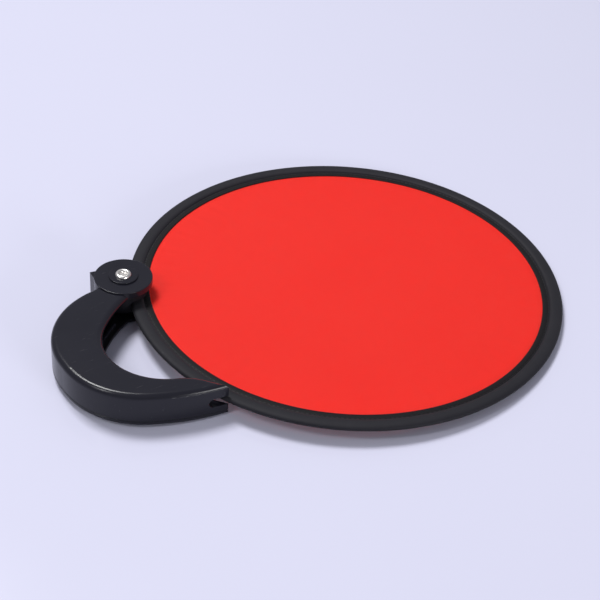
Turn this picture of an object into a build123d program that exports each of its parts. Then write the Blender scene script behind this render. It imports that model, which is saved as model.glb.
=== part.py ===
"""Pop-up hand disc: a taut fabric panel in a sprung, bound rim, hinged on a crescent grip.

Millimetres, +Z up. The grip lies flat on Z = 0 and the disc's mid-plane is half-way up it.
+X runs from the grip to the disc's far edge; the origin is under the middle of the whole.
"""

import os
from math import atan2, cos, degrees, radians, sin

from build123d import *

# Disc: panel, hem and sprung rim
DISC_R = 125.0
DISC_X = 26.6  # disc centre, ahead of the origin
MID_Z = 10.0
RIM_W = 7.6
RIM_H = 3.6
RIM_SKIN = 0.6
HEM_IN_R = 113.5
HEM_H = 1.2
PANEL_T = 0.4
PANEL_R = 118.1
SLIT_H = 0.46

# Spring strip that stretches the panel, and the sleeve over its joined ends
STRIP_R = 121.1
STRIP_T = 0.8
STRIP_H = 2.0
STRIP_GAP_DEG = 0.6
FERRULE_ARC = 6.6
FERRULE_T = 0.55

# Pivot
PIVOT = (-89.0, 54.5)
SHANK_R = 2.0
SHELL_FIT = 0.04
RUN_FIT = 0.06

# Grip: two shells, seen in plan
GRIP_H = 20.0
PLATE = 2.6
WALL = 2.4
TOP_ROUND = 3.0
UNDER_ROUND = 1.2
LOBE_R = 47.7
LOBE_X = -103.9
LOBE_LOW_Y = 2.2
LOBE_TOP_Y = 6.1
LOBE_LOW_ARC = 63.5
LOBE_TOP_END = 95.0
TAIL_R = 120.0
TAIL_ARC = 20.3
THROAT_R = 4.5
THROAT_ARC = 80.0
SPUR_SIDE = 10.25
SPUR_ROOT = (-94.0, 66.3)
MOUTH = (-92.9, -1.8)
MOUTH_R = 34.0
MOUTH_START = 136.0
MOUTH_ARC = 113.0
BRIDGE_R = 90.0
BRIDGE_ARC = 19.5
CHEEK_R = 30.4
CHEEK_ARC = 27.0
SHARP_X = -108.0  # the corner ahead of and beyond these two keeps sharp edges
SHARP_Y = 50.0
PARTING = 0.25  # chamfer on both shells where they meet

# Boss round the pivot
BOSS_R = 16.4
BOSS_RISE = 1.0
COLLAR_R = 8.2
COLLAR_RISE = 1.0
PAD_R = 9.0
PAD_H = 1.0
OPEN_X = -99.3  # the boss has no wall ahead of this line
NOSE_X = -97.4  # the tip is solid ahead of this line

# Notch at the tip that catches the rim
NOTCH_H = 5.5
NOTCH_Z = 9.35
NOTCH_END_X = -95.3

# Tongue that locates the lower shell inside the upper one
TONGUE_T = 1.2
TONGUE_H = 2.4
TONGUE_GAP = 0.12

# Rivet, its tail washer and the friction washers
HEAD_R = 4.5
HEAD_H = 1.4
DISH_R = 1.9
TAIL_FLANGE_R = 3.4
TAIL_FLANGE_H = 0.8
TAIL_WASHER_R = 5.2
TAIL_WASHER_T = 0.5
RECESS_R = 5.6
RECESS_H = 1.6
WASHER_R = 8.5
WASHER_T = 0.6
AXIAL_GAP = 0.1

# Rim clip that turns on the rivet
CLIP_R = 13.3
CLIP_GRIP_GAP = 0.05
PIN_R = 1.0
PIN_FIT = 0.03
PIN_OFFSET = 9.6
PIN_SPREAD = 45.0
PIN_SHORT = 0.6

BOSS_TOP = GRIP_H + BOSS_RISE
COLLAR_TOP = BOSS_TOP + COLLAR_RISE
CEILING = GRIP_H - PLATE
CLIP_LOW = PLATE + PAD_H + WASHER_T + AXIAL_GAP
CLIP_HIGH = CEILING - PAD_H - WASHER_T - AXIAL_GAP
PIVOT_BEARING = degrees(atan2(PIVOT[1], PIVOT[0] - DISC_X))
DISC_AXIS = Axis((DISC_X, 0, 0), (0, 0, 1))
PIVOT_AXIS = Axis((PIVOT[0], PIVOT[1], 0), (0, 0, 1))
RIM_PLANE = Plane(origin=(DISC_X, 0, MID_Z), x_dir=(1, 0, 0), z_dir=(0, -1, 0))


def from_point(centre, radius, bearing):
    """Point at a radius and a bearing in degrees from a centre in plan."""
    return (
        centre[0] + radius * cos(radians(bearing)),
        centre[1] + radius * sin(radians(bearing)),
    )


def mouth_side(inset):
    """The grip's hollow side from the boss to the tip, moved into the grip by inset."""
    lip = CenterArc(MOUTH, MOUTH_R + inset, MOUTH_START, MOUTH_ARC)
    bridge = JernArc(lip @ 0, (lip % 0) * -1, BRIDGE_R + inset, -BRIDGE_ARC)
    cheek = JernArc(lip @ 1, lip % 1, CHEEK_R - inset, -CHEEK_ARC)
    return bridge @ 1, cheek @ 1


def grip_plan():
    """Plan of the whole grip: crescent, spur and boss."""
    with BuildSketch(mode=Mode.PRIVATE) as plan:
        with BuildLine():
            belly = CenterArc((LOBE_X, LOBE_LOW_Y), LOBE_R, 180, LOBE_LOW_ARC)
            tail = JernArc(belly @ 1, belly % 1, TAIL_R, TAIL_ARC)
            crown = CenterArc((LOBE_X, LOBE_TOP_Y), LOBE_R, LOBE_TOP_END, 180 - LOBE_TOP_END)
            Line(crown @ 1, belly @ 0)
            throat = JernArc(crown @ 0, (crown % 0) * -1, THROAT_R, THROAT_ARC)
            spur = PolarLine(throat @ 1, SPUR_SIDE, direction=throat % 1)
            bridge_end, cheek_end = mouth_side(0)
            Line(cheek_end, tail @ 1)
            Polyline(spur @ 1, SPUR_ROOT, bridge_end)
        make_face()
        with Locations(PIVOT):
            Circle(BOSS_R)
    return plan.sketch


def hollow_plan(wall, mouth_cut):
    """Plan of the space inside the grip: closed by the back wall, open towards the disc."""
    with BuildSketch(mode=Mode.PRIVATE) as plan:
        add(grip_plan())
        offset(amount=-wall, kind=Kind.INTERSECTION)
        with BuildLine():
            bridge_end, cheek_end = mouth_side(mouth_cut)
            Polyline(
                bridge_end,
                (OPEN_X, bridge_end.Y),
                (OPEN_X, 80),
                (0, 80),
                (0, cheek_end.Y),
                cheek_end,
            )
        make_face()
        with Locations((NOSE_X + 50, -50)):
            Rectangle(100, 60, mode=Mode.SUBTRACT)
    return plan.sketch


GRIP = grip_plan()
HOLLOW = hollow_plan(WALL, WALL + 0.3)


def cut_below(part_plan, low, high):
    """A prism of a plan between two heights, for use as a cutting body."""
    with BuildPart(mode=Mode.PRIVATE) as prism:
        with BuildSketch(Plane.XY.offset(low)):
            add(part_plan)
        extrude(amount=high - low)
    return prism.part


def rounded(edges):
    """The edges of a face but for those of the spur and of the boss beside it, left sharp."""
    return [edge for edge in edges if (edge @ 0.5).X < SHARP_X or (edge @ 0.5).Y < SHARP_Y]


# ---------------------------------------------------------------- grip, upper shell
with BuildPart() as upper_shell:
    with BuildSketch(Plane.XY.offset(PLATE)):
        add(GRIP)
    extrude(amount=GRIP_H - PLATE)
    fillet(rounded(upper_shell.faces().sort_by(Axis.Z)[-1].edges()), TOP_ROUND)
    chamfer(rounded(upper_shell.faces().sort_by(Axis.Z)[0].edges()), PARTING)
    with BuildSketch(Plane.XY.offset(CEILING)):
        with Locations(PIVOT):
            Circle(BOSS_R)
    extrude(amount=BOSS_TOP - CEILING)
    fillet(upper_shell.faces().sort_by(Axis.Z)[-1].edges(), 0.4)
    with BuildSketch(Plane.XY.offset(BOSS_TOP)):
        with Locations(PIVOT):
            Circle(COLLAR_R)
    extrude(amount=COLLAR_RISE)
    fillet(upper_shell.faces().sort_by(Axis.Z)[-1].edges(), 0.3)
    add(cut_below(HOLLOW, PLATE, CEILING), mode=Mode.SUBTRACT)
    with BuildSketch(Plane.XY.offset(CEILING)):
        with Locations(PIVOT):
            Circle(PAD_R)
    extrude(amount=-PAD_H)
    with BuildSketch(Plane.XY):
        with Locations(PIVOT):
            Circle(SHANK_R + SHELL_FIT)
    extrude(amount=COLLAR_TOP + 1, mode=Mode.SUBTRACT)
    with BuildSketch(Plane.XZ.offset(30)):
        with Locations((NOTCH_END_X + 30, NOTCH_Z)):
            SlotOverall(60, NOTCH_H)
    extrude(amount=40, mode=Mode.SUBTRACT)
upper_shell.part.label = "handle_upper_shell"

# ---------------------------------------------------------------- grip, lower shell
with BuildPart() as lower_shell:
    with BuildSketch():
        add(GRIP)
    extrude(amount=PLATE)
    fillet(lower_shell.faces().sort_by(Axis.Z)[0].edges(), UNDER_ROUND)
    chamfer(rounded(lower_shell.faces().sort_by(Axis.Z)[-1].edges()), PARTING)
    with BuildSketch(Plane.XY.offset(PLATE)) as tongue:
        add(hollow_plan(WALL + TONGUE_GAP, WALL + 0.3))
        add(hollow_plan(WALL + TONGUE_GAP + TONGUE_T, WALL + 0.3), mode=Mode.SUBTRACT)
        with Locations(PIVOT):
            Circle(BOSS_R + 6, mode=Mode.SUBTRACT)
        with Locations((NOSE_X, -50)):
            Rectangle(8, 60, mode=Mode.SUBTRACT)
    extrude(amount=TONGUE_H)
    with BuildSketch(Plane.XY.offset(PLATE)):
        with Locations(PIVOT):
            Circle(PAD_R)
    extrude(amount=PAD_H)
    with BuildSketch(Plane.XY):
        with Locations(PIVOT):
            Circle(SHANK_R + SHELL_FIT)
    extrude(amount=PLATE + PAD_H, mode=Mode.SUBTRACT)
    with BuildSketch(Plane.XY):
        with Locations(PIVOT):
            Circle(RECESS_R)
    extrude(amount=RECESS_H, mode=Mode.SUBTRACT)
lower_shell.part.label = "handle_lower_shell"


# ---------------------------------------------------------------- rivet and washers
with BuildPart() as rivet:
    with BuildSketch(Plane(origin=(*PIVOT, 0), x_dir=(1, 0, 0), z_dir=(0, -1, 0))):
        tail_low = RECESS_H - TAIL_WASHER_T - TAIL_FLANGE_H
        tail_high = RECESS_H - TAIL_WASHER_T
        with BuildLine():
            Polyline(
                (0, COLLAR_TOP + 0.4),
                (0, tail_low + 0.2),
                (SHANK_R - 0.6, tail_low + 0.2),
                (SHANK_R, tail_low),
                (TAIL_FLANGE_R - 0.3, tail_low),
                (TAIL_FLANGE_R, tail_high),
                (SHANK_R, tail_high),
                (SHANK_R, COLLAR_TOP),
                (HEAD_R, COLLAR_TOP),
            )
            ThreePointArc(
                (HEAD_R, COLLAR_TOP),
                ((HEAD_R + DISH_R) / 2 + 0.2, COLLAR_TOP + HEAD_H),
                (DISH_R, COLLAR_TOP + 0.4),
            )
            Line((DISH_R, COLLAR_TOP + 0.4), (0, COLLAR_TOP + 0.4))
        make_face()
    revolve(axis=PIVOT_AXIS)
rivet.part.label = "pivot_rivet"


def washer(low, thick, outer_r, inner_r):
    """Flat washer on the pivot."""
    with BuildPart() as ring:
        with BuildSketch(Plane.XY.offset(low)):
            with Locations(PIVOT):
                Circle(outer_r)
                Circle(inner_r, mode=Mode.SUBTRACT)
        extrude(amount=thick)
    return ring.part


tail_washer = washer(RECESS_H - TAIL_WASHER_T, TAIL_WASHER_T, TAIL_WASHER_R, SHANK_R + SHELL_FIT)
tail_washer.label = "rivet_tail_washer"
upper_washer = washer(CEILING - PAD_H - WASHER_T, WASHER_T, WASHER_R, SHANK_R + SHELL_FIT)
upper_washer.label = "friction_washer_upper"
lower_washer = washer(PLATE + PAD_H, WASHER_T, WASHER_R, SHANK_R + SHELL_FIT)
lower_washer.label = "friction_washer_lower"


# ---------------------------------------------------------------- rim of the disc
def rim_section(grow):
    """Section of tube and hem together, grown all round by grow."""
    with BuildSketch(mode=Mode.PRIVATE) as section:
        with Locations((DISC_R - RIM_W / 2, 0)):
            RectangleRounded(RIM_W + 2 * grow, RIM_H + 2 * grow, RIM_H / 2 + grow - 0.02)
        with Locations(((HEM_IN_R + DISC_R - RIM_W / 2) / 2, 0)):
            Rectangle(DISC_R - RIM_W / 2 - HEM_IN_R + 2 * grow, HEM_H + 2 * grow)
    return section.sketch


with BuildPart() as binding:
    with BuildSketch(RIM_PLANE):
        add(rim_section(0))
        with Locations((DISC_R - RIM_W / 2, 0)):
            inner_h = RIM_H - 2 * RIM_SKIN
            RectangleRounded(RIM_W - 2 * RIM_SKIN, inner_h, inner_h / 2 - 0.02, mode=Mode.SUBTRACT)
        with Locations(((HEM_IN_R + PANEL_R) / 2, 0)):
            Rectangle(PANEL_R - HEM_IN_R + 1, SLIT_H, mode=Mode.SUBTRACT)
    revolve(axis=DISC_AXIS)
binding.part.label = "rim_binding"

with BuildPart() as panel:
    with BuildSketch(Plane.XY.offset(MID_Z - PANEL_T / 2)):
        with Locations((DISC_X, 0)):
            Circle(PANEL_R)
    extrude(amount=PANEL_T)
panel.part.label = "fabric_panel"


def rim_sweep(width, height, start, arc, hollow=None):
    """Rectangular bar bent round the disc at the strip's radius, between two bearings."""
    section_plane = Plane(
        origin=(DISC_X, 0, MID_Z),
        x_dir=(cos(radians(start)), sin(radians(start)), 0),
        z_dir=(sin(radians(start)), -cos(radians(start)), 0),
    )
    with BuildPart() as bar:
        with BuildSketch(section_plane):
            with Locations((STRIP_R, 0)):
                Rectangle(width, height)
                if hollow:
                    Rectangle(*hollow, mode=Mode.SUBTRACT)
        revolve(axis=DISC_AXIS, revolution_arc=arc)
    return bar.part


spring = rim_sweep(STRIP_T, STRIP_H, PIVOT_BEARING + STRIP_GAP_DEG / 2, 360 - STRIP_GAP_DEG)
spring.label = "spring_ring"
ferrule = rim_sweep(
    STRIP_T + 2 * FERRULE_T,
    STRIP_H + 0.3,
    PIVOT_BEARING - FERRULE_ARC / 2,
    FERRULE_ARC,
    hollow=(STRIP_T + 0.04, STRIP_H + 0.04),
)
ferrule.label = "ring_ferrule"

# ---------------------------------------------------------------- rim clip on the rivet
with BuildPart(mode=Mode.PRIVATE) as rim_body:
    with BuildSketch(RIM_PLANE):
        add(rim_section(CLIP_GRIP_GAP))
    revolve(axis=DISC_AXIS)

CLIP_PINS = [
    from_point(PIVOT, PIN_OFFSET, PIVOT_BEARING + PIN_SPREAD),
    from_point(PIVOT, PIN_OFFSET, PIVOT_BEARING - PIN_SPREAD),
]


def clip_jaw(low, high, outer_face):
    """Half of the clip: a round jaw with the pivot eye, pin holes and a seat for the rim."""
    with BuildPart() as jaw:
        with BuildSketch(Plane.XY.offset(low)):
            with Locations(PIVOT):
                Circle(CLIP_R)
        extrude(amount=high - low)
        fillet(jaw.faces().sort_by(Axis.Z)[outer_face].edges(), 0.8)
        with BuildSketch(Plane.XY.offset(low)):
            with Locations(PIVOT):
                Circle(SHANK_R + RUN_FIT)
        extrude(amount=high - low, mode=Mode.SUBTRACT)
        with BuildSketch(Plane.XY.offset(CLIP_LOW + PIN_SHORT)):
            with Locations(*CLIP_PINS):
                Circle(PIN_R + PIN_FIT)
        extrude(amount=CLIP_HIGH - CLIP_LOW - 2 * PIN_SHORT, mode=Mode.SUBTRACT)
        add(rim_body.part, mode=Mode.SUBTRACT)
    return jaw.part


upper_jaw = clip_jaw(MID_Z, CLIP_HIGH, -1)
upper_jaw.label = "clip_upper_jaw"
lower_jaw = clip_jaw(CLIP_LOW, MID_Z, 0)
lower_jaw.label = "clip_lower_jaw"


def clip_pin(place):
    """Pin that holds the two jaws together."""
    with BuildPart() as pin:
        with BuildSketch(Plane.XY.offset(CLIP_LOW + PIN_SHORT + 0.1)):
            with Locations(place):
                Circle(PIN_R)
        extrude(amount=CLIP_HIGH - CLIP_LOW - 2 * PIN_SHORT - 0.2)
    return pin.part


pins = []
for name, place in zip(("clip_pin_front", "clip_pin_back"), CLIP_PINS):
    pin = clip_pin(place)
    pin.label = name
    pins.append(pin)

# ---------------------------------------------------------------- files
os.makedirs("parts", exist_ok=True)
pieces = [
    upper_shell.part,
    lower_shell.part,
    rivet.part,
    tail_washer,
    upper_washer,
    lower_washer,
    binding.part,
    panel.part,
    spring,
    ferrule,
    upper_jaw,
    lower_jaw,
    *pins,
]
for piece in pieces:
    export_step(piece, f"parts/{piece.label}.step")
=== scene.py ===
"""Pop-up hand disc: taut red cloth in a sprung, bound rim that swings on a crescent grip."""

from math import cos, exp, pi, radians, sin

import bpy
from mathutils import Matrix, Vector


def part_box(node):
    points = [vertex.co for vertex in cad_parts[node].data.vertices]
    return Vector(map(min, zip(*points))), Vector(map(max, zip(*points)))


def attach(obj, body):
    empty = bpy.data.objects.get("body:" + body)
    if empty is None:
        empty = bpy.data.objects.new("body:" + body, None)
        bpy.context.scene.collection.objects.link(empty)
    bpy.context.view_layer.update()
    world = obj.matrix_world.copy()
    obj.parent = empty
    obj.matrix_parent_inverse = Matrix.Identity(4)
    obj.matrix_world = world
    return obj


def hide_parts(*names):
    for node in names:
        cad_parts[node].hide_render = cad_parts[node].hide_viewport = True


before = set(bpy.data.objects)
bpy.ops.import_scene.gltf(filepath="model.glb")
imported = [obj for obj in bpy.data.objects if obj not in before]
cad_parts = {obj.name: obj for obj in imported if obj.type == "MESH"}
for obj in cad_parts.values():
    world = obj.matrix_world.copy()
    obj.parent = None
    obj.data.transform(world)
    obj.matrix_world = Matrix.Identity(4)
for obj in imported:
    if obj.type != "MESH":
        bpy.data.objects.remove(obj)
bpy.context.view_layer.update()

MM = 0.001

# ------------------------------------------------------------------ sizes of the made pieces
RIM_LOW, RIM_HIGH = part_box("rim_binding")
DISC_X = (RIM_LOW.x + RIM_HIGH.x) / 2
DISC_R = (RIM_HIGH.y - RIM_LOW.y) / 2
MID_Z = (RIM_LOW.z + RIM_HIGH.z) / 2
TUBE_HALF_WIDTH = 3.8 * MM
TUBE_HALF_HEIGHT = 1.78 * MM
TUBE_R = DISC_R - TUBE_HALF_WIDTH
TUBE_SQUARE = 2.5  # 2 is an ellipse, more is boxier
TUBE_SKIN = 0.55 * MM
SEAM_R = 117.2 * MM
HEM_R = 113.5 * MM
HEM_HALF = 0.62 * MM
SLIT_HALF = 0.22 * MM
RIM_STEPS = 900
PUCKER_DEPTH = 0.11 * MM
PUCKER_SCALE = 420.0
PUCKER_FULL = 0.2 * MM  # from the seam out to here the tape is fully gathered
PUCKER_EASED = 3.4 * MM  # and from here on only a little
PUCKER_LEFT = 0.18
STITCH_INSET = 0.35 * MM
STITCH_LIFT = 0.80  # of the hem's half thickness
STITCH_PITCH = 2.6 * MM
STITCH_LENGTH = 1.9 * MM
THREAD_WIDTH = 0.34 * MM
TAPE_RIB = 0.55 * MM
TAPE_THREAD = 0.28 * MM
CLOTH_R = 118.0 * MM
CLOTH_THICK = 0.22 * MM
CLOTH_SAG = 0.5 * MM
CLOTH_RINGS = 56
CLOTH_RING_EASE = 1.25  # more than 1 draws the rings closer at the edge
CLOTH_SPOKES = 384
CLOTH_TURN = radians(12)  # how the weave lies to the grip
WEAVE_PITCH = 0.42 * MM
SLUB_STRETCH = 14.0
SLUB_SCALE = 240.0
WAVE_HEIGHT = 0.11 * MM
WAVES = ((1.0, 38.0, 11.0, 0.6), (0.7, -17.0, 46.0, 2.1), (0.5, 71.0, -39.0, 4.0))
PULL_HEIGHT = 0.05 * MM
PULL_R = 107.0 * MM
PULL_REACH = 6.5 * MM
PULLS = ((1.0, 64, 0.9), (0.8, 101, 2.7), (0.6, 37, 0.0))
WAVE_FADE = 3.0  # the higher, the nearer the hem the waves die out
PULL_FADE = 14.0
SPLIT_Z = 2.6 * MM  # where the two grip shells meet
SPLIT_DARK = 0.10 * MM
SPLIT_EDGE = 0.24 * MM
SCUFF_TURN = radians(24)
HEEL_X = -75 * MM  # the disc tips about here
TABLE_HALF = 6.0
TABLE_GAP = 0.05 * MM

# ------------------------------------------------------------------ light and view
CENTRE = (0.0, 0.0, 0.0)
SOFT_LIGHTS = {
    "key": ((-0.25, 1.39, 2.65), (0.9, 0.9), 76.0),
    "window": ((-1.44, 0.04, 1.55), (0.32, 0.50), 8.2),
    "strip": ((0.12, -1.69, 0.42), (0.60, 0.35), 11.5),
}
ROOM_COLOUR = (0.90, 0.91, 1.0, 1.0)
ROOM_STRENGTH = 0.32
VIEW_TURN = radians(-36.2)
VIEW_RISE = radians(37.44)
VIEW_ROLL = radians(4.32)
VIEW_PLACE = (DISC_X - 0.4050, -0.5097, 0.4930)
LENS = 84.0
FILM_WIDTH = 36.0
VIEW_FAR = 50.0


# ------------------------------------------------------------------ material tools
class Flow:
    """A shader socket that takes part in Python sums; every sum adds its Math node."""

    def __init__(self, recipe, socket):
        self.recipe = recipe
        self.socket = socket

    def sum(self, operation, first, second=None):
        """One Math node on one value or two."""
        sockets = {0: first} if second is None else {0: first, 1: second}
        return self.recipe.node("ShaderNodeMath", {"operation": operation}, sockets)

    def __add__(self, other):
        return self.sum("ADD", self, other)

    def __radd__(self, other):
        return self.sum("ADD", other, self)

    def __sub__(self, other):
        return self.sum("SUBTRACT", self, other)

    def __rsub__(self, other):
        return self.sum("SUBTRACT", other, self)

    def __mul__(self, other):
        return self.sum("MULTIPLY", self, other)

    def __rmul__(self, other):
        return self.sum("MULTIPLY", other, self)

    def __pow__(self, other):
        return self.sum("POWER", self, other)

    def __gt__(self, other):
        return self.sum("GREATER_THAN", self, other)

    def __abs__(self):
        return self.sum("ABSOLUTE", self)

    def sine(self):
        return self.sum("SINE", self)


class Recipe:
    """A finish in the making: one Principled shader and what feeds it."""

    def __init__(self, name):
        self.material = bpy.data.materials.new(name)
        self.material.use_nodes = True
        self.tree = self.material.node_tree
        self.tree.nodes.clear()
        output = self.tree.nodes.new("ShaderNodeOutputMaterial")
        self.shader = self.tree.nodes.new("ShaderNodeBsdfPrincipled")
        self.tree.links.new(self.shader.outputs["BSDF"], output.inputs["Surface"])

    def feed(self, node, sockets):
        for key, value in sockets.items():
            if isinstance(value, Flow):
                self.tree.links.new(value.socket, node.inputs[key])
            else:
                node.inputs[key].default_value = value

    def node(self, kind, settings=None, sockets=None, out=0):
        """Adds a node: its settings first, then the values or links of its sockets."""
        made = self.tree.nodes.new(kind)
        for key, value in (settings or {}).items():
            setattr(made, key, value)
        self.feed(made, sockets or {})
        return Flow(self, made.outputs[out])

    def surface(self, **sockets):
        """Sets or feeds the shader's sockets and hands over the finished material."""
        self.feed(self.shader, {key.replace("_", " "): v for key, v in sockets.items()})
        return self.material

    def place(self, stretch=(1, 1, 1), turn=0.0):
        """Object coordinates, stretched and turned about Z."""
        where = self.node("ShaderNodeTexCoord", out="Object")
        if stretch == (1, 1, 1) and not turn:
            return where
        return self.node(
            "ShaderNodeMapping",
            {},
            {"Vector": where, "Scale": stretch, "Rotation": (0, 0, turn)},
        )

    def along_tape(self):
        """Metres along the tape and across it, as the rim's own UV map keeps them."""
        return self.node("ShaderNodeUVMap", {"uv_map": "tape"})

    def split(self, vector):
        made = self.tree.nodes.new("ShaderNodeSeparateXYZ")
        self.feed(made, {0: vector})
        return [Flow(self, made.outputs[i]) for i in range(3)]

    def noise(self, where, scale, detail=3.0):
        return self.node(
            "ShaderNodeTexNoise",
            {"noise_dimensions": "3D"},
            {"Vector": where, "Scale": scale, "Detail": detail, "Roughness": 0.55},
        )

    def between(self, value, low, high):
        """Smooth step from 0 to 1 as a value goes from the low limit to the high one."""
        return self.node(
            "ShaderNodeMapRange",
            {"interpolation_type": "SMOOTHSTEP"},
            {"Value": value, "From Min": low, "From Max": high},
        )

    def blend(self, share, first, second):
        """Mix of two colours."""
        return self.node(
            "ShaderNodeMix",
            {"data_type": "RGBA"},
            {0: share, 6: first, 7: second},
            out=2,
        )

    def bump(self, height, depth):
        return self.node(
            "ShaderNodeBump",
            {},
            {"Height": height, "Distance": depth, "Strength": 1.0},
        )


def rgba(red, green, blue):
    return (red, green, blue, 1.0)


# ------------------------------------------------------------------ finishes
def moulded_black(name, gloss=0.21, shade=1.0, split_line=True):
    """Satin moulded black: fine tool grain, faint flow marks, rubbed patches and the shell split."""
    r = Recipe(name)
    where = r.place()
    grain = r.noise(where, 3600.0, 2.0)
    pits = r.noise(where, 900.0, 3.0)
    cloud = r.noise(where, 26.0, 4.0)
    streaks = r.noise(r.place((1.0, 9.0, 1.0), SCUFF_TURN), 130.0, 5.0)
    scuffs = r.between(streaks, 0.63, 0.75)
    dark, pale, rubbed = (
        rgba(shade * red, shade * red, shade * blue)
        for red, blue in ((0.0110, 0.0165), (0.0160, 0.0230), (0.030, 0.037))
    )
    tone = r.blend(cloud, dark, pale)
    tone = r.blend(scuffs * 0.35, tone, rubbed)
    height = grain * 0.6 + pits * 0.4
    rough = gloss + cloud * 0.08 + scuffs * 0.12 - 0.04
    if split_line:
        z = r.split(where)[2]
        line = 1 - r.between(abs(z - SPLIT_Z), SPLIT_DARK, SPLIT_EDGE)
        tone = r.blend(line * 0.8, tone, rgba(0.004, 0.004, 0.005))
        rough = rough + line * 0.3
        height = height - line * 2.0
    return r.surface(
        Base_Color=tone,
        Roughness=rough,
        Normal=r.bump(height, 0.016 * MM),
        IOR=1.45,
        Specular_IOR_Level=0.29,
    )


def bright_nickel():
    """Plated rivet: bright, with fine turned lines and a few dull specks."""
    r = Recipe("bright_nickel")
    lines = r.noise(r.place((1.0, 1.0, 6.0)), 2600.0, 2.0)
    specks = r.between(r.noise(r.place(), 1500.0, 4.0), 0.60, 0.72)
    tone = r.blend(specks * 0.4, rgba(0.90, 0.87, 0.83), rgba(0.50, 0.45, 0.41))
    return r.surface(
        Base_Color=tone,
        Metallic=1.0,
        Roughness=0.24 + lines * 0.08 + specks * 0.2,
        Normal=r.bump(lines, 0.006 * MM),
    )


def natural_nylon():
    """Washers: undyed, a little cloudy."""
    r = Recipe("natural_nylon")
    where = r.place()
    cloud = r.noise(where, 400.0, 3.0)
    tone = r.blend(cloud, rgba(0.66, 0.64, 0.58), rgba(0.76, 0.74, 0.69))
    return r.surface(
        Base_Color=tone,
        Roughness=0.42 + cloud * 0.1,
        Normal=r.bump(r.noise(where, 3000.0), 0.01 * MM),
    )


def blued_spring():
    """Rolled strip steel: dark blue-grey with lines along the roll."""
    r = Recipe("blued_spring")
    where = r.place((1.0, 1.0, 12.0))
    roll = r.noise(where, 700.0, 3.0)
    tone = r.blend(roll, rgba(0.13, 0.14, 0.17), rgba(0.30, 0.31, 0.34))
    return r.surface(
        Base_Color=tone,
        Metallic=1.0,
        Roughness=0.28 + roll * 0.2,
        Normal=r.bump(roll, 0.01 * MM),
    )


def plain_weave(r, where, pitch):
    """Height of a plain weave in the X-Y plane: threads pass over and under each other."""
    x, y = r.split(where)[:2]
    warp = (x * (pi / pitch)).sine()
    weft = (y * (pi / pitch)).sine()
    over = (warp * weft) > 0.0
    return abs(warp) * over + abs(weft) * (1 - over)


def red_nylon():
    """Taut red cloth: a fine plain weave with uneven threads and a faint sheen."""
    r = Recipe("red_nylon")
    weave = plain_weave(r, r.place((1, 1, 1), CLOTH_TURN), WEAVE_PITCH)
    slub_warp = r.noise(r.place((1.0, SLUB_STRETCH, 1.0), CLOTH_TURN), SLUB_SCALE)
    slub_weft = r.noise(r.place((SLUB_STRETCH, 1.0, 1.0), CLOTH_TURN), SLUB_SCALE)
    cloud = r.noise(r.place(), 16.0, 4.0)
    fuzz = r.noise(r.place(), 1500.0, 2.0)
    threads = slub_warp * 0.5 + slub_weft * 0.5
    tone = r.blend(cloud, rgba(0.94, 0.010, 0.005), rgba(0.98, 0.017, 0.009))
    tone = r.blend(r.between(threads, 0.35, 0.65) * 0.30, tone, rgba(0.99, 0.028, 0.016))
    tone = r.blend((1 - weave) * 0.20, tone, rgba(0.70, 0.004, 0.004))
    return r.surface(
        Base_Color=tone,
        Roughness=0.56 + fuzz * 0.16,
        Normal=r.bump(weave * 0.7 + threads * 0.5 + fuzz * 0.2, 0.035 * MM),
        Specular_IOR_Level=0.22,
        Subsurface_Weight=0.7,
        Subsurface_Radius=(1.0, 0.10, 0.06),
        Subsurface_Scale=0.0011,
        Sheen_Weight=0.03,
        Sheen_Roughness=0.35,
    )


def binding_tape():
    """Black binding: ribs run across the tape, the hem inside the seam is painted darker as shade,
    lint clings.
    """
    r = Recipe("binding_tape")
    along, across = r.split(r.along_tape())[:2]
    rib = (along * (2 * pi / TAPE_RIB)).sine() * 0.5 + 0.5
    thread = (across * (2 * pi / TAPE_THREAD)).sine() * 0.5 + 0.5
    where = r.place()
    fuzz = r.noise(where, 1700.0, 3.0)
    cloud = r.noise(where, 60.0, 4.0)
    tone = r.blend(cloud, rgba(0.009, 0.009, 0.012), rgba(0.016, 0.015, 0.020))
    tone = r.blend(rib * thread * 0.30, tone, rgba(0.028, 0.027, 0.034))
    x, y = r.split(where)[:2]
    radius = ((x - DISC_X) ** 2 + y * y) ** 0.5
    # The hem strip inside the seam is painted near-black: painted shade where the tape lies low in
    # the groove and catches little sheen.
    hem = 1 - r.between(radius, SEAM_R - 0.4 * MM, SEAM_R + 0.5 * MM)
    tone = r.blend(hem * 0.92, tone, rgba(0.003, 0.002, 0.003))
    lint = r.between(r.noise(where, 1100.0, 4.0), 0.68, 0.76)
    tone = r.blend(lint * 0.4, tone, rgba(0.11, 0.11, 0.12))
    return r.surface(
        Base_Color=tone,
        Roughness=0.50 + fuzz * 0.14,
        Normal=r.bump(rib * 0.8 + thread * 0.4 + fuzz * 0.5, 0.030 * MM),
        Specular_IOR_Level=0.15,
        Sheen_Weight=0.03,
        Sheen_Roughness=0.5,
    )


def black_thread():
    """Sewing thread: its twist catches the light."""
    r = Recipe("black_thread")
    where = r.place()
    twist = (r.noise(where, 5200.0, 2.0) * 9.0).sine() * 0.5 + 0.5
    tone = r.blend(twist, rgba(0.014, 0.014, 0.018), rgba(0.038, 0.038, 0.046))
    return r.surface(
        Base_Color=tone,
        Roughness=0.46 + twist * 0.1,
        Normal=r.bump(twist, 0.03 * MM),
    )


def table_top():
    """Pale, faintly lilac laminate with a soft gloss."""
    r = Recipe("table_top")
    where = r.place()
    cloud = r.noise(where, 3.0, 3.0)
    tone = r.blend(cloud, rgba(0.602, 0.602, 0.740), rgba(0.628, 0.628, 0.765))
    return r.surface(
        Base_Color=tone,
        Roughness=0.10 + r.noise(where, 14.0) * 0.06,
        IOR=1.45,
    )


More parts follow.
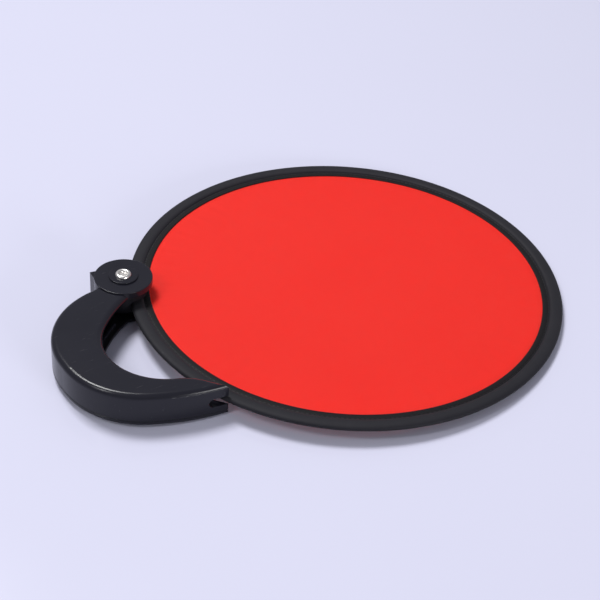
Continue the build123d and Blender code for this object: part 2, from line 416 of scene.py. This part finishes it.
# ------------------------------------------------------------------ mesh tools
def new_piece(name, points, edges=(), faces=(), material=None, smooth=True):
    mesh = bpy.data.meshes.new(name)
    mesh.from_pydata(points, edges, faces)
    if material:
        mesh.materials.append(material)
    mesh.polygons.foreach_set("use_smooth", [smooth] * len(mesh.polygons))
    mesh.update()
    piece = bpy.data.objects.new(name, mesh)
    bpy.context.scene.collection.objects.link(piece)
    return piece


class Tree:
    """A Geometry Nodes tree with named size inputs."""

    def __init__(self, name, sizes):
        self.group = bpy.data.node_groups.new(name, "GeometryNodeTree")
        face = self.group.interface
        face.new_socket("Geometry", in_out="INPUT", socket_type="NodeSocketGeometry")
        self.identifiers = {}
        for label, (kind, value) in sizes.items():
            socket = face.new_socket(label, in_out="INPUT", socket_type=kind)
            self.identifiers[label] = socket.identifier
        face.new_socket("Geometry", in_out="OUTPUT", socket_type="NodeSocketGeometry")
        self.sizes = sizes
        self.start = self.group.nodes.new("NodeGroupInput")
        self.end = self.group.nodes.new("NodeGroupOutput")

    def size(self, label):
        return self.start.outputs[label]

    def add(self, kind, settings=None, sockets=None):
        made = self.group.nodes.new(kind)
        for key, value in (settings or {}).items():
            setattr(made, key, value)
        for key, value in (sockets or {}).items():
            if isinstance(value, bpy.types.NodeSocket):
                self.group.links.new(value, made.inputs[key])
            else:
                made.inputs[key].default_value = value
        return made

    def maths(self, operation, first, second):
        return self.add("ShaderNodeMath", {"operation": operation}, {0: first, 1: second}).outputs[0]

    def keep_length(self, geometry, name):
        """Stores each point's distance along its curve under a name."""
        place = self.add("GeometryNodeSplineParameter")
        kept = self.add(
            "GeometryNodeStoreNamedAttribute",
            {"data_type": "FLOAT", "domain": "POINT"},
            {"Geometry": geometry, "Name": name, "Value": place.outputs["Length"]},
        )
        return kept.outputs[0]

    def kept(self, name):
        made = self.add("GeometryNodeInputNamedAttribute", {"data_type": "FLOAT"}, {"Name": name})
        return made.outputs["Attribute"]

    def close(self, geometry, material):
        """Realize Instances and Set Material end every tree."""
        real = self.add("GeometryNodeRealizeInstances", {}, {"Geometry": geometry})
        painted = self.add(
            "GeometryNodeSetMaterial",
            {},
            {"Geometry": real.outputs[0], "Material": material},
        )
        self.group.links.new(painted.outputs[0], self.end.inputs[0])

    def make(self, name, carrier):
        """Runs the tree on a carrier object and returns the result as a plain piece."""
        modifier = carrier.modifiers.new(name, "NODES")
        modifier.node_group = self.group
        for label, (kind, value) in self.sizes.items():
            modifier[self.identifiers[label]] = value
        graph = bpy.context.evaluated_depsgraph_get()
        graph.update()
        mesh = bpy.data.meshes.new_from_object(carrier.evaluated_get(graph))
        mesh.name = name
        carrier.modifiers.clear()
        bpy.data.objects.remove(carrier)
        piece = bpy.data.objects.new(name, mesh)
        bpy.context.scene.collection.objects.link(piece)
        return piece


def settle(piece, body, slot, *stands_for):
    """Rides a piece on its body and hides the CAD nodes it stands for; the slot it is given is not
    used.
    """
    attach(piece, body)
    if stands_for:
        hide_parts(*stands_for)
    return piece


# ------------------------------------------------------------------ rim: bound tube and sewn hem
def rim_profile():
    """Closed outline of tube, hem and slit, as (out from the tube's centre, height)."""
    outline = []

    def tube(half_w, half_h, start, stop, steps):
        for i in range(steps + 1):
            t = radians(start + (stop - start) * i / steps)
            c, s = cos(t), sin(t)
            outline.append(
                (
                    half_w * (1 if c > 0 else -1) * abs(c) ** (2 / TUBE_SQUARE),
                    half_h * (1 if s > 0 else -1) * abs(s) ** (2 / TUBE_SQUARE),
                )
            )

    hem = HEM_R - TUBE_R
    seam = SEAM_R - TUBE_R
    edge = [
        (hem + 0.02 * MM, SLIT_HALF + 0.02 * MM),
        (hem, HEM_HALF * 0.66),
        (hem + 0.12 * MM, HEM_HALF * 0.92),
        (hem + 0.45 * MM, HEM_HALF * 1.06),
        (hem + 1.3 * MM, HEM_HALF * 1.12),
        (hem + 2.3 * MM, HEM_HALF * 1.10),
        (seam - 0.55 * MM, HEM_HALF * 0.98),
        (seam - 0.2 * MM, HEM_HALF * 0.80),
        (seam, HEM_HALF * 0.66),
    ]
    outline += edge
    tube(TUBE_HALF_WIDTH, TUBE_HALF_HEIGHT, 170, -170, 40)
    outline += [(out, -up) for out, up in reversed(edge)]
    outline.append((seam + 0.9 * MM, -SLIT_HALF))
    tube(TUBE_HALF_WIDTH - TUBE_SKIN, TUBE_HALF_HEIGHT - TUBE_SKIN, -168, 168, 14)
    outline.append((seam + 0.9 * MM, SLIT_HALF))
    return outline


def pucker(tree):
    """How far each point of the tape is drawn in or out: most at the seam, little on the tube."""
    where = tree.add("GeometryNodeInputPosition").outputs[0]
    apart = tree.add("ShaderNodeSeparateXYZ", {}, {0: where})
    flat = tree.add(
        "ShaderNodeCombineXYZ", {}, {"X": apart.outputs["X"], "Y": apart.outputs["Y"]}
    )
    radius = tree.add("ShaderNodeVectorMath", {"operation": "LENGTH"}, {0: flat.outputs[0]})
    from_seam = tree.maths("SUBTRACT", radius.outputs["Value"], SEAM_R)
    off_seam = tree.add("ShaderNodeMath", {"operation": "ABSOLUTE"}, {0: from_seam})
    gather = tree.add(
        "ShaderNodeMapRange",
        {"interpolation_type": "SMOOTHSTEP"},
        {0: off_seam.outputs[0], 1: PUCKER_FULL, 2: PUCKER_EASED, 3: 1.0, 4: PUCKER_LEFT},
    )
    ripple = tree.add(
        "ShaderNodeTexNoise",
        {"noise_dimensions": "4D"},
        {
            "Vector": where,
            "W": tree.size("Seed"),
            "Scale": tree.size("Pucker scale"),
            "Detail": 1.5,
        },
    )
    centred = tree.maths("SUBTRACT", ripple.outputs[0], 0.5)
    depth = tree.maths("MULTIPLY", tree.maths("MULTIPLY", centred, tree.size("Pucker depth")), 2.0)
    outward = tree.add("GeometryNodeInputNormal")
    shift = tree.add(
        "ShaderNodeVectorMath",
        {"operation": "SCALE"},
        {0: outward.outputs[0], "Scale": tree.maths("MULTIPLY", depth, gather.outputs[0])},
    )
    return shift.outputs[0]


def make_rim(material):
    """Sweeps the profile round the disc, gathers the tape along the seam and lays out its UVs."""
    outline = rim_profile()
    points = [(out, up, 0.0) for out, up in outline]
    ring = [(i, (i + 1) % len(points)) for i in range(len(points))]
    carrier = new_piece("rim_profile", points, ring)
    tree = Tree(
        "bound_rim",
        {
            "Ring radius": ("NodeSocketFloat", TUBE_R),
            "Ring steps": ("NodeSocketInt", RIM_STEPS),
            "Pucker depth": ("NodeSocketFloat", PUCKER_DEPTH),
            "Pucker scale": ("NodeSocketFloat", PUCKER_SCALE),
            "Seed": ("NodeSocketFloat", 7.0),
        },
    )
    path = tree.add(
        "GeometryNodeCurvePrimitiveCircle",
        {"mode": "RADIUS"},
        {"Resolution": tree.size("Ring steps"), "Radius": tree.size("Ring radius")},
    )
    section = tree.add("GeometryNodeMeshToCurve", {}, {0: tree.start.outputs["Geometry"]})
    swept = tree.add(
        "GeometryNodeCurveToMesh",
        {},
        {
            "Curve": tree.keep_length(path.outputs[0], "along"),
            "Profile Curve": tree.keep_length(section.outputs[0], "across"),
        },
    )
    pair = tree.add("ShaderNodeCombineXYZ", {}, {"X": tree.kept("along"), "Y": tree.kept("across")})
    laid_out = tree.add(
        "GeometryNodeStoreNamedAttribute",
        {"data_type": "FLOAT2", "domain": "CORNER"},
        {"Geometry": swept.outputs[0], "Name": "tape", "Value": pair.outputs[0]},
    )
    puckered = tree.add(
        "GeometryNodeSetPosition",
        {},
        {"Geometry": laid_out.outputs[0], "Offset": pucker(tree)},
    )
    placed = tree.add(
        "GeometryNodeTransform",
        {},
        {"Geometry": puckered.outputs[0], "Translation": (DISC_X, 0.0, MID_Z)},
    )
    soft = tree.add("GeometryNodeSetShadeSmooth", {}, {0: placed.outputs[0]})
    tree.close(soft.outputs[0], material)
    return tree.make("rim_sleeve", carrier)


def make_stitches(material):
    """Two rows of lock stitches, above and below the hem, just inside the tube."""
    carrier = new_piece("stitch_carrier", [(0, 0, 0)])
    tree = Tree(
        "lock_stitches",
        {
            "Row radius": ("NodeSocketFloat", SEAM_R - STITCH_INSET),
            "Row height": ("NodeSocketFloat", HEM_HALF * STITCH_LIFT),
            "Stitch pitch": ("NodeSocketFloat", STITCH_PITCH),
            "Stitch length": ("NodeSocketFloat", STITCH_LENGTH),
            "Thread width": ("NodeSocketFloat", THREAD_WIDTH),
        },
    )
    row = tree.add(
        "GeometryNodeCurvePrimitiveCircle",
        {"mode": "RADIUS"},
        {"Resolution": 720, "Radius": tree.size("Row radius")},
    )
    holes = tree.add(
        "GeometryNodeCurveToPoints",
        {"mode": "LENGTH"},
        {"Curve": row.outputs[0], "Length": tree.size("Stitch pitch")},
    )
    grain = tree.add("GeometryNodeMeshUVSphere", {}, {"Segments": 7, "Rings": 6, "Radius": 0.5})
    lengths = tree.add(
        "ShaderNodeCombineXYZ",
        {},
        {
            "X": tree.size("Thread width"),
            "Y": tree.size("Thread width"),
            "Z": tree.size("Stitch length"),
        },
    )
    stitches = tree.add(
        "GeometryNodeInstanceOnPoints",
        {},
        {
            "Points": holes.outputs["Points"],
            "Instance": grain.outputs["Mesh"],
            "Rotation": holes.outputs["Rotation"],
            "Scale": lengths.outputs[0],
        },
    )
    join = tree.add("GeometryNodeJoinGeometry")
    for side in (1.0, -1.0):
        height = tree.maths("ADD", tree.maths("MULTIPLY", tree.size("Row height"), side), MID_Z)
        place = tree.add("ShaderNodeCombineXYZ", {}, {"X": DISC_X, "Z": height})
        moved = tree.add(
            "GeometryNodeTransform",
            {},
            {"Geometry": stitches.outputs[0], "Translation": place.outputs[0]},
        )
        tree.group.links.new(moved.outputs[0], join.inputs[0])
    soft = tree.add("GeometryNodeSetShadeSmooth", {}, {0: join.outputs[0]})
    tree.close(soft.outputs[0], material)
    return tree.make("binding_stitches", carrier)


# ------------------------------------------------------------------ panel cloth
def cloth_height(radius, bearing):
    """Middle height of the taut cloth: a slight dish, long soft waves, pulls from the stitching."""
    share = radius / HEM_R
    inside = max(0.0, 1.0 - share * share)
    x, y = radius * cos(bearing), radius * sin(bearing)
    waves = sum(size * sin(x * by_x + y * by_y + start) for size, by_x, by_y, start in WAVES)
    near_hem = exp(-((radius - PULL_R) ** 2) / (2 * PULL_REACH**2))
    pulls = sum(size * sin(count * bearing + start) for size, count, start in PULLS)
    return (
        MID_Z
        - CLOTH_SAG * inside
        + WAVE_HEIGHT * waves * min(1.0, WAVE_FADE * inside)
        + PULL_HEIGHT * near_hem * pulls * min(1.0, PULL_FADE * inside)
    )


def make_cloth(material):
    """Two skins of rings and spokes, closed round the edge inside the hem."""
    points, faces = [], []
    for side in (1, -1):
        points.append((DISC_X, 0.0, cloth_height(0, 0) + side * CLOTH_THICK / 2))
        for ring in range(1, CLOTH_RINGS + 1):
            radius = CLOTH_R * (1 - (1 - ring / CLOTH_RINGS) ** CLOTH_RING_EASE)
            for spoke in range(CLOTH_SPOKES):
                bearing = 2 * pi * spoke / CLOTH_SPOKES
                points.append(
                    (
                        DISC_X + radius * cos(bearing),
                        radius * sin(bearing),
                        cloth_height(radius, bearing) + side * CLOTH_THICK / 2,
                    )
                )
    layer = 1 + CLOTH_RINGS * CLOTH_SPOKES
    for side in (0, 1):
        first = side * layer
        for spoke in range(CLOTH_SPOKES):
            after = (spoke + 1) % CLOTH_SPOKES
            fan = (first, first + 1 + spoke, first + 1 + after)
            faces.append(fan if side == 0 else fan[::-1])
            for ring in range(CLOTH_RINGS - 1):
                inner = first + 1 + ring * CLOTH_SPOKES
                outer = inner + CLOTH_SPOKES
                quad = (inner + spoke, outer + spoke, outer + after, inner + after)
                faces.append(quad if side == 0 else quad[::-1])
    edge_top = 1 + (CLOTH_RINGS - 1) * CLOTH_SPOKES
    edge_low = edge_top + layer
    for spoke in range(CLOTH_SPOKES):
        after = (spoke + 1) % CLOTH_SPOKES
        faces.append((edge_top + after, edge_top + spoke, edge_low + spoke, edge_low + after))
    return new_piece("panel_cloth", points, (), faces, material)


# ------------------------------------------------------------------ finishes on the hard pieces
SHELL_BLACK = moulded_black("moulded_black")
# The clip jaws take a darker, duller copy of the moulded black: painted shade for jaws that sit in
# shadow under the boss.
CLIP_SHADED_BLACK = moulded_black("clip_painted_shade", gloss=0.5, shade=0.6, split_line=False)
NICKEL = bright_nickel()
NYLON = natural_nylon()
SPRING = blued_spring()

HARD_FINISHES = {
    "handle_upper_shell": SHELL_BLACK,
    "handle_lower_shell": SHELL_BLACK,
    "clip_upper_jaw": CLIP_SHADED_BLACK,
    "clip_lower_jaw": CLIP_SHADED_BLACK,
    "pivot_rivet": NICKEL,
    "rivet_tail_washer": NICKEL,
    "friction_washer_upper": NYLON,
    "friction_washer_lower": NYLON,
    "spring_ring": SPRING,
    "ring_ferrule": SPRING,
    "clip_pin_front": SPRING,
    "clip_pin_back": SPRING,
}
for node_name, finish in HARD_FINISHES.items():
    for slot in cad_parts[node_name].material_slots:
        slot.material = finish

# ------------------------------------------------------------------ soft pieces
cloth = settle(make_cloth(red_nylon()), "disc", "panel_fabric", "fabric_panel")
settle(make_rim(binding_tape()), "disc", "binding_fabric", "rim_binding")
settle(make_stitches(black_thread()), "disc", "binding_fabric")


# ------------------------------------------------------------------ table, light and camera
def make_table():
    """Pale table. The light disc tips its far edge down on to it."""
    slope = (MID_Z - TUBE_HALF_HEIGHT) / (DISC_X + DISC_R - HEEL_X)
    corners = ((-1, -1), (1, -1), (1, 1), (-1, 1))
    points = [
        (x * TABLE_HALF, y * TABLE_HALF, slope * (x * TABLE_HALF - HEEL_X) - TABLE_GAP)
        for x, y in corners
    ]
    table = new_piece("table", points, (), [(0, 1, 2, 3)], table_top(), smooth=False)


def soft_light(name, place, size, power):
    """A soft box of light that faces the object."""
    lamp = bpy.data.lights.new(name, "AREA")
    lamp.shape = "RECTANGLE"
    lamp.size, lamp.size_y = size
    lamp.energy = power
    light = bpy.data.objects.new(name, lamp)
    light.location = place
    light.rotation_euler = (Vector(CENTRE) - Vector(place)).to_track_quat("-Z", "Y").to_euler()
    bpy.context.scene.collection.objects.link(light)


def make_camera():
    """Looks down from the grip's side, turned off the long axis, with a slight roll."""
    away = cos(VIEW_RISE)
    back = Vector((sin(VIEW_TURN) * away, -cos(VIEW_TURN) * away, sin(VIEW_RISE)))
    level = Vector((cos(VIEW_TURN), sin(VIEW_TURN), 0.0))
    rise = back.cross(level)
    right = level * cos(VIEW_ROLL) + rise * sin(VIEW_ROLL)
    up = rise * cos(VIEW_ROLL) - level * sin(VIEW_ROLL)
    lens = bpy.data.cameras.new("camera")
    lens.lens = LENS
    lens.sensor_width = FILM_WIDTH
    lens.clip_end = VIEW_FAR
    camera = bpy.data.objects.new("camera", lens)
    turned = Matrix((right, up, back)).transposed().to_4x4()
    camera.matrix_world = Matrix.Translation(VIEW_PLACE) @ turned
    bpy.context.scene.collection.objects.link(camera)
    bpy.context.scene.camera = camera


def make_room():
    """Pale surroundings that fill the shadows."""
    room = bpy.data.worlds.new("room")
    room.use_nodes = True
    background = room.node_tree.nodes["Background"]
    background.inputs["Color"].default_value = ROOM_COLOUR
    background.inputs["Strength"].default_value = ROOM_STRENGTH
    bpy.context.scene.world = room
    bpy.context.scene.view_settings.view_transform = "Standard"


make_table()
for light_name, (place, size, power) in SOFT_LIGHTS.items():
    soft_light(light_name, place, size, power)
make_room()
make_camera()
